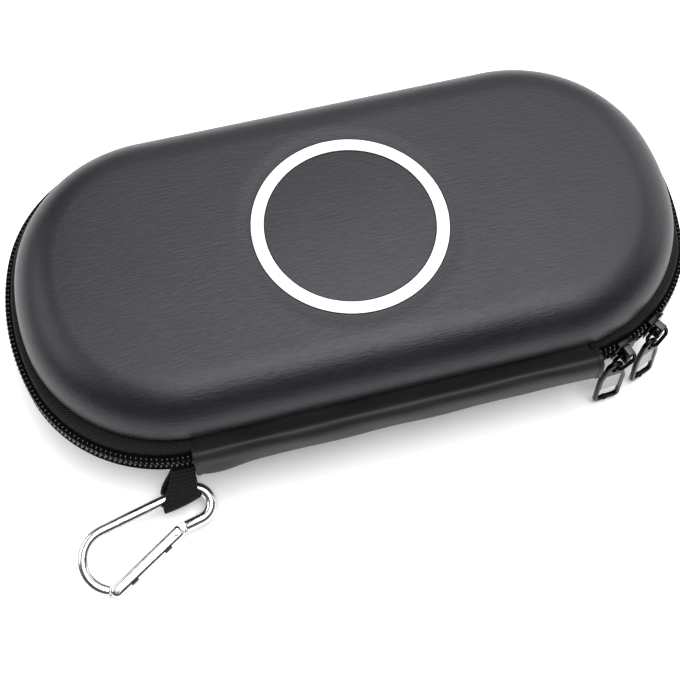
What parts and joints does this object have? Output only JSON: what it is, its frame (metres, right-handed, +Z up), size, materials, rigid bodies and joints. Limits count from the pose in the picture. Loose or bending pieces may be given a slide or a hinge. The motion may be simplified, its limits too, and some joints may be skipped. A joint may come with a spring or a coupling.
{
  "type": "portable game console case",
  "caption": "Zip-up hard case for a hand-held game console: moulded lid and base on a leather hinge strip, ring on the lid, coil zip with pull sliders, carabiner on a webbing loop.",
  "frame": {"origin": "middle of the flat bottom", "axes": "+X along the length, towards the end with the parked zip sliders; -Y towards the hinge strip; +Z up"},
  "size_m": [0.2, 0.1272, 0.042],
  "materials": {
    "grained_leather": "fine-grained matt synthetic leather",
    "smooth_leather": "smooth satin synthetic leather",
    "white_vinyl": "smooth white vinyl",
    "zip_tape": "herringbone woven polyester tape",
    "nylon_coil": "satin nylon monofilament",
    "binding": "woven tape",
    "webbing": "ribbed woven webbing",
    "gunmetal": "polished dark plated zinc",
    "polished_aluminium": "polished",
    "steel": "plain",
    "net": "knitted net",
    "elastic": "woven elastic"
  },
  "bodies": {
    "base": {"lower_shell": "grained_leather", "hinge_strip": "smooth_leather", "lower_tape": "zip_tape", "lower_coil": "nylon_coil", "lower_binding": "binding", "holding_strap": "elastic", "webbing_loop": "webbing"},
    "lid": {"upper_shell": "grained_leather", "top_ring": "white_vinyl", "upper_tape": "zip_tape", "upper_coil": "nylon_coil", "upper_binding": "binding", "mesh_pocket": "net", "pocket_elastic": "elastic"},
    "left_slider": {"left_slider": "gunmetal"},
    "left_link": {"left_pull_link": "gunmetal"},
    "left_tab": {"left_pull_tab": "gunmetal"},
    "right_slider": {"right_slider": "gunmetal"},
    "right_link": {"right_pull_link": "gunmetal"},
    "right_tab": {"right_pull_tab": "gunmetal"},
    "carabiner": {"carabiner_hook": "polished_aluminium", "gate_pivot_rivet": "steel"},
    "gate": {"carabiner_gate": "polished_aluminium", "gate_latch_rivet": "steel", "gate_spring": "steel"}
  },
  "joints": [
    {"name": "lid_hinge", "type": "hinge", "parent": "base", "child": "lid", "pos_m": [0, -0.0528, 0.021], "axis": [1, 0, 0], "range_deg": [0, 105]},
    {"name": "left_slider_travel", "type": "hinge", "parent": "base", "child": "left_slider", "pos_m": [0.05617, -0.0048, 0.021], "axis": [0, 0, 1], "range_deg": [0, 1.5]},
    {"name": "left_link_turn", "type": "hinge", "parent": "left_slider", "child": "left_link", "pos_m": [0.06964, -0.04999, 0.021], "axis": [0, 0, 1], "range_deg": [-4, 105]},
    {"name": "left_tab_swing", "type": "hinge", "parent": "left_link", "child": "left_tab", "pos_m": [0.06562, -0.05119, 0.01858], "axis": [0.0794, -0.9871, 0.1392], "range_deg": [-12, 17]},
    {"name": "right_slider_travel", "type": "hinge", "parent": "base", "child": "right_slider", "pos_m": [0.05617, -0.0048, 0.021], "axis": [0, 0, 1], "range_deg": [0, 36]},
    {"name": "right_link_turn", "type": "hinge", "parent": "right_slider", "child": "right_link", "pos_m": [0.0813, -0.0447, 0.021], "axis": [0, 0, 1], "range_deg": [-4, 165]},
    {"name": "right_tab_swing", "type": "hinge", "parent": "right_link", "child": "right_tab", "pos_m": [0.07774, -0.04694, 0.01858], "axis": [0.3419, -0.9294, 0.1392], "range_deg": [-17, 17]},
    {"name": "carabiner_swing", "type": "hinge", "parent": "base", "child": "carabiner", "pos_m": [-0.06053, -0.0529, 0.007], "axis": [-0.9744, -0.225, 0], "range_deg": [-60, 75]},
    {"name": "gate_opening", "type": "hinge", "parent": "carabiner", "child": "gate", "pos_m": [-0.08539, -0.07505, 0.00209], "axis": [0.066, -0.2861, 0.9559], "range_deg": [0, 12], "stiffness_Nm_per_rad": 0.01, "springref_deg": -11.46}
  ]
}
